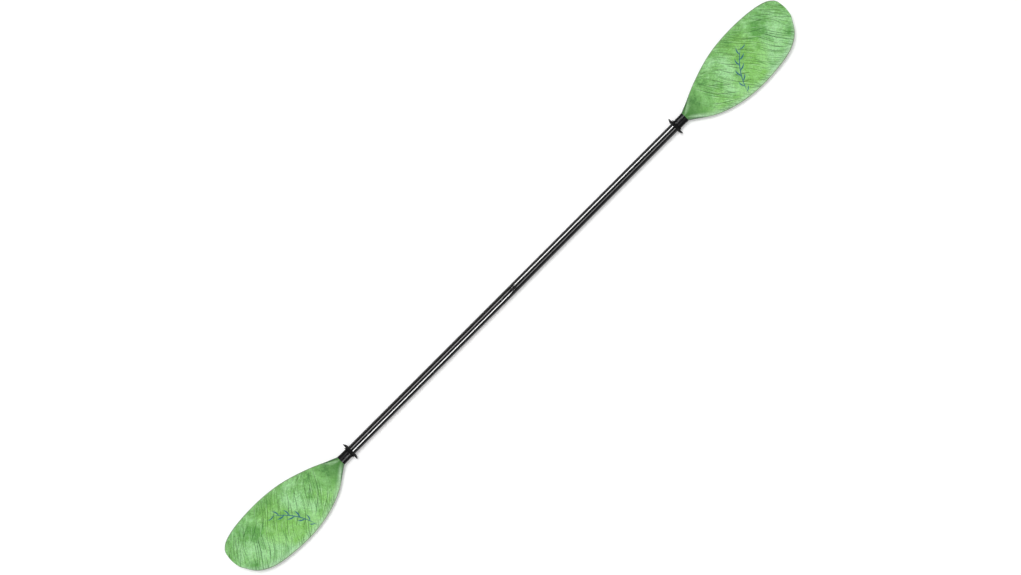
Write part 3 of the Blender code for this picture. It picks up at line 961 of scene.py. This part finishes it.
def ring_profile():
    """Drip ring: flange, waisted hub, and a thin disc that cups towards the blade."""
    bore = shaft_radius + FIT_GAP
    hub = bore + RING_HUB_WALL
    flange = hub + RING_FLANGE_WIDTH
    bottom = ring_start - RING_HEIGHT
    upper = []
    lower = []
    for step in range(RING_STEPS + 1):
        share = step / RING_STEPS
        thickness = RING_ROOT_THICKNESS + (RING_RIM_THICKNESS - RING_ROOT_THICKNESS) * share
        radius = hub + (axis_height - hub) * share
        lift = RING_CUP_DEPTH * share**RING_CURVE
        upper.append((bottom + lift + thickness, radius))
        lower.append((bottom + lift, radius))
    return [
        (ring_start, bore),
        (ring_start, flange),
        (ring_start - RING_FLANGE_HEIGHT, flange),
        (ring_start - RING_FLANGE_HEIGHT, hub),
        *upper,
        *reversed(lower),
        (bottom, bore),
    ]


def tube_profile(start, end, bore, radius, stops):
    """Plain tube with eased ends, and extra rings at the stops on both walls."""
    outer = [(x, radius) for x in sorted(stops, reverse=True)]
    inner = [(x, bore) for x in sorted(stops)]
    corners = [(end, bore), (end, radius), *outer, (start, radius), (start, bore), *inner]
    return rounded(corners, SHAFT_FILLET)


def eased(corner, before, after):
    """A small curve that takes the place of a corner."""
    here = np.array(corner)
    back = np.array(before) - here
    on = np.array(after) - here
    back = back / np.linalg.norm(back) * CLIP_EASE
    on = on / np.linalg.norm(on) * CLIP_EASE
    curve = []
    for step in range(CLIP_EASE_STEPS + 1):
        t = step / CLIP_EASE_STEPS
        curve.append(tuple(here + back * (1 - t) ** 2 + on * t**2))
    return curve


def clip_path(leg):
    """The strip's middle line: both legs, the tapers between them, and the bend at their end."""
    bend_centre = -CLIP_LEG - CLIP_TAPER
    path = [(CLIP_TAIL, -leg), (-CLIP_LEG / 2, -leg)]
    path += eased((-CLIP_LEG, -leg), (CLIP_TAIL, -leg), (bend_centre, -CLIP_BEND_RADIUS))
    for step in range(CLIP_BEND_STEPS + 1):
        turn = math.pi * step / CLIP_BEND_STEPS
        x = bend_centre - CLIP_BEND_RADIUS * math.sin(turn)
        path.append((x, -CLIP_BEND_RADIUS * math.cos(turn)))
    path += eased((-CLIP_LEG, leg), (bend_centre, CLIP_BEND_RADIUS), (CLIP_TAIL, leg))
    path += [(-CLIP_LEG / 2, leg), (CLIP_TAIL, leg)]
    return path


def strip_mesh(path):
    """Flat strip along a path of (x from the button, height from the shaft's line)."""
    points = []
    for i, here in enumerate(path):
        ahead = np.array(path[min(i + 1, len(path) - 1)]) - np.array(path[max(i - 1, 0)])
        ahead = ahead / np.linalg.norm(ahead)
        out = np.array((-ahead[1], ahead[0])) * CLIP_THICKNESS / 2
        for across, face in ((-1, -1), (1, -1), (1, 1), (-1, 1)):
            x, z = np.array(here) + out * face
            points.append((x - BUTTON_POSITION, across * CLIP_WIDTH / 2, axis_height + z))
    last = len(points) - 4
    faces = [(0, 1, 2, 3), (last, last + 1, last + 2, last + 3)]
    faces += side_faces(len(path), 4)
    return new_mesh("strip", points, faces)


def stud_mesh(leg):
    """Domed button, which stands on the strip's upper leg."""
    radius = BUTTON_DIAMETER / 2
    top = shaft_radius + BUTTON_PROUD
    profile = [
        (top, 0.0),
        (top - BUTTON_CROWN, radius * BUTTON_CROWN_SHARE),
        (top - BUTTON_DOME, radius),
        (leg, radius),
        (leg, 0.0),
    ]
    profile = rounded(profile, BUTTON_FILLET, closed=False)
    points = []
    for height, reach in profile:
        for k in range(BUTTON_SIDES):
            turn = 2 * math.pi * k / BUTTON_SIDES
            x = reach * math.cos(turn) - BUTTON_POSITION
            points.append((x, reach * math.sin(turn), axis_height + height))
    return new_mesh("stud", points, side_faces(len(profile), BUTTON_SIDES), merged=True)


def clip_mesh():
    """Bent spring strip with its button, as one solid."""
    flat_bore = insert_bore * math.cos(math.pi / CAD_SIDES) - FIT_GAP
    leg = math.sqrt(flat_bore**2 - (CLIP_WIDTH / 2) ** 2) - CLIP_THICKNESS / 2
    strip = new_object("strip", strip_mesh(clip_path(leg)))
    stud = new_object("stud", stud_mesh(leg))
    union = strip.modifiers.new("button", "BOOLEAN")
    union.operation = "UNION"
    union.object = stud
    union.solver = "EXACT"
    return applied(strip, [stud])


def add_half(side_name, side, plug_start, tube_holes):
    """The pieces that both halves have."""
    body = side_name + "_half"
    name = side_name + "_moulding"
    blade = joined(name, [blade_mesh("blade", side), spigot_mesh("spigot", side)])
    new_piece(name, blade, side_name + "_blade", film, body)

    name = side_name + "_sleeve_film"
    sleeve = lathe(name, rounded(sleeve_profile(), SLEEVE_FILLET), side)
    new_piece(name, sleeve, side_name + "_shrink_sleeve", shrink, body)

    name = side_name + "_ring_rubber"
    ring_body = side_name + "_ring"
    profile = rounded(ring_profile(), RING_FILLET)
    ring = lathe(name, profile, side, smooth_angle=RING_SMOOTH_ANGLE)
    new_piece(name, ring, side_name + "_drip_ring", black_rubber, ring_body)

    name = side_name + "_shaft_weave"
    stops = (*HOLE_STRETCH, BUTTON_POSITION - HOLE_MARGIN, BUTTON_POSITION + HOLE_MARGIN)
    profile = tube_profile(shaft_start, shaft_end, shaft_bore, shaft_radius, stops)
    tube = lathe("tube", profile, side)
    if tube_holes:
        tube = cut_holes(tube, tube_holes)
    new_piece(name, tube, side_name + "_shaft_tube", carbon, body)

    name = side_name + "_foam_block"
    profile = [
        (plug_start + PLUG_LENGTH, 0.0),
        (plug_start + PLUG_LENGTH, bonded_radius),
        (plug_start, bonded_radius),
        (plug_start, 0.0),
    ]
    plug = lathe(name, rounded(profile, PLUG_FILLET, closed=False), side, closed=False)
    block = new_piece(name, plug, side_name + "_float_plug", foam, body)


def add_liner():
    """Glass liner in the left tube, with its index holes."""
    stops = (BUTTON_POSITION - HOLE_MARGIN, BUTTON_POSITION + HOLE_MARGIN)
    profile = tube_profile(shaft_start, liner_end, liner_bore, liner_radius, stops)
    liner = cut_holes(lathe("liner", profile, -1), index_holes)
    new_piece("liner_tube", liner, "ferrule_sleeve", glass_liner(), "left_half")


def add_insert():
    """Sliding insert on the right tube, and the nose that closes it."""
    profile = [
        (bonded_end, insert_bore),
        (bonded_end, bonded_radius),
        (bonded_start, bonded_radius),
        (bonded_start, insert_radius),
        (-BUTTON_POSITION + HOLE_MARGIN, insert_radius),
        (-BUTTON_POSITION - HOLE_MARGIN, insert_radius),
        (-insert_reach, insert_radius),
        (-insert_reach, insert_bore),
        (-BUTTON_POSITION - HOLE_MARGIN, insert_bore),
        (-BUTTON_POSITION + HOLE_MARGIN, insert_bore),
    ]
    insert = lathe("insert", rounded(profile, INSERT_FILLET), 1)
    insert = cut_holes(insert, [(-BUTTON_POSITION, 0.0)])
    nylon = moulded_black("insert_nylon", INSERT_BLACK, 0.40)
    new_piece("insert_tube", insert, "ferrule_insert", nylon, "right_half")

    profile = [
        (nose_start + NOSE_FLANGE, 0.0),
        (nose_start + NOSE_FLANGE, insert_radius - NOSE_CHAMFER),
        (nose_start, insert_radius),
        (nose_start, insert_bore - FIT_GAP),
        (nose_start - NOSE_STEM, insert_bore - FIT_GAP),
        (nose_start - NOSE_STEM, 0.0),
    ]
    nose = lathe("insert_nose", rounded(profile, NOSE_FILLET, closed=False), -1, closed=False)
    plastic = moulded_black("nose_plastic", NOSE_BLACK, 0.50)
    new_piece("insert_nose", nose, "insert_end_plug", plastic, "right_half")


def add_gasket():
    """Rubber ring between the two tubes."""
    half = shaft_start - FIT_GAP
    profile = [
        (half, insert_radius + FIT_GAP),
        (half, shaft_radius),
        (-half, shaft_radius),
        (-half, insert_radius + FIT_GAP),
    ]
    gasket = lathe("seam_gasket", rounded(profile, GASKET_FILLET), 1)
    new_piece("seam_gasket", gasket, "seal_ring", black_rubber, "seam_seal")


def add_spring():
    """Snap spring, bent between the insert and the button."""
    spring = new_piece("snap_spring", clip_mesh(), "snap_clip", spring_steel())
    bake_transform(spring)


def add_floor():
    """Pale floor, which keeps the paddle's shadow."""
    s = Shader(
        "studio_floor", Base_Color=FLOOR_GREY, Roughness=0.9, Specular_IOR_Level=0.0,
        Emission_Color=WHITE,
    )
    path = s.tree.nodes.new("ShaderNodeLightPath").outputs
    mirrored = s.math("MAXIMUM", path["Is Glossy Ray"], path["Is Transmission Ray"])
    seen = s.math("MAXIMUM", path["Is Camera Ray"], mirrored)
    s.put(s.surface.inputs["Emission Strength"], s.math("MULTIPLY", seen, FLOOR_GLOW))
    square = ((-1, -1), (1, -1), (1, 1), (-1, 1))
    corners = [(x * FLOOR_REACH, y * FLOOR_REACH, 0.0) for x, y in square]
    data = bpy.data.meshes.new("studio_floor")
    data.from_pydata(corners, [], [(0, 1, 2, 3)])
    data.materials.append(s.material)
    floor = new_object("studio_floor", data)


def add_world():
    """White at the horizon and dark above it, like a studio with pale walls and a dark ceiling."""
    world = bpy.data.worlds.new("studio")
    bpy.context.scene.world = world
    world.use_nodes = True
    tree = world.node_tree
    background = tree.nodes["Background"]
    direction = tree.nodes.new("ShaderNodeTexCoord").outputs["Generated"]
    split = tree.nodes.new("ShaderNodeSeparateXYZ")
    tree.links.new(direction, split.inputs[0])
    fade = tree.nodes.new("ShaderNodeMapRange")
    fade.interpolation_type = "SMOOTHSTEP"
    tree.links.new(split.outputs[2], fade.inputs["Value"])
    fade.inputs["From Min"].default_value = SKY_FADE_START
    fade.inputs["From Max"].default_value = SKY_FADE_END
    fade.inputs["To Min"].default_value = 1.0
    fade.inputs["To Max"].default_value = SKY_CEILING
    tree.links.new(fade.outputs[0], background.inputs["Strength"])
    background.inputs["Color"].default_value = (*WHITE, 1.0)


def add_sun(name, energy, angle, tilt):
    """Lamp without a reflection: the key throws the tight shadow, and the wide one fills it."""
    lamp = bpy.data.lights.new(name, "SUN")
    lamp.energy = energy
    lamp.angle = math.radians(angle)
    sun = new_object(name, lamp)
    sun.rotation_euler = (math.radians(tilt), 0.0, 0.0)
    sun.visible_glossy = False


def add_panel(name, x, length, tilt, width, brightness):
    """Area lamp beside the shaft and parallel to it, which shows only in what is glossy."""
    lamp = bpy.data.lights.new(name, "AREA")
    lamp.shape = "RECTANGLE"
    lamp.size = length
    lamp.size_y = width
    lamp.energy = brightness * math.pi * length * width
    panel = new_object(name, lamp)
    angle = math.radians(tilt)
    height = axis_height + LAMP_DISTANCE * math.cos(angle)
    panel.location = (x, -LAMP_DISTANCE * math.sin(angle), height)
    panel.rotation_euler = (angle, 0.0, 0.0)
    panel.visible_diffuse = False
    panel.visible_camera = False
    return panel


def add_panels():
    """The lamps that shape tubes and throats. The strips light the shaft alone, not the blades."""
    strips = [
        add_panel(name, side * STRIP_PLACE, STRIP_LENGTH, tilt, width, brightness)
        for name, side, tilt, width, brightness in STRIPS
    ]
    shaft_set = bpy.data.collections.new("shaft_set")
    for name in SHAFT_PIECES:
        shaft_set.objects.link(bpy.data.objects[name])
    for strip in strips:
        strip.light_linking.receiver_collection = shaft_set
    for side_name, x in (("left", -BOX_PLACE), ("right", BOX_PLACE)):
        for place, tilt in (("near", BOX_TILT), ("far", -BOX_TILT)):
            name = side_name + "_" + place + "_box"
            add_panel(name, x, BOX_LENGTH, tilt, BOX_WIDTH, BOX_BRIGHTNESS)


def add_camera():
    """Straight down through a long lens, turned so that the shaft lies on the frame's diagonal."""
    data = bpy.data.cameras.new("camera")
    data.type = "PERSP"
    data.sensor_width = SENSOR_WIDTH
    data.lens = data.sensor_width * CAMERA_DISTANCE * PIXELS_PER_METRE / FRAME_WIDTH
    camera = new_object("camera", data)
    right = Vector((math.cos(CAMERA_ROLL), math.sin(CAMERA_ROLL), 0.0))
    up = Vector((-math.sin(CAMERA_ROLL), math.cos(CAMERA_ROLL), 0.0))
    above = Vector((0, 0, axis_height + CAMERA_DISTANCE))
    shift_right = ((FRAME_WIDTH - 1) / 2 - CENTRE_PIXEL[0]) / PIXELS_PER_METRE
    shift_up = (CENTRE_PIXEL[1] - (FRAME_HEIGHT - 1) / 2) / PIXELS_PER_METRE
    camera.location = right * shift_right + up * shift_up + above
    camera.rotation_euler = (0.0, 0.0, CAMERA_ROLL)
    bpy.context.scene.camera = camera


for old in list(bpy.data.objects):
    bpy.data.objects.remove(old)

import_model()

add_camera()
add_floor()
add_world()
add_sun("key", energy=2.1, angle=14.0, tilt=-12.0)
add_sun("fill", energy=1.0, angle=110.0, tilt=0.0)

film = film_with_painted_light()
carbon = woven_carbon()
shrink = shrink_film()
black_rubber = rubber()
foam = closed_foam()

add_half("left", -1, liner_end + FIT_GAP, index_holes)
add_half("right", 1, bonded_end + FIT_GAP, None)
add_liner()
add_insert()
add_gasket()
add_spring()
add_panels()

bpy.context.scene.view_settings.view_transform = "Standard"
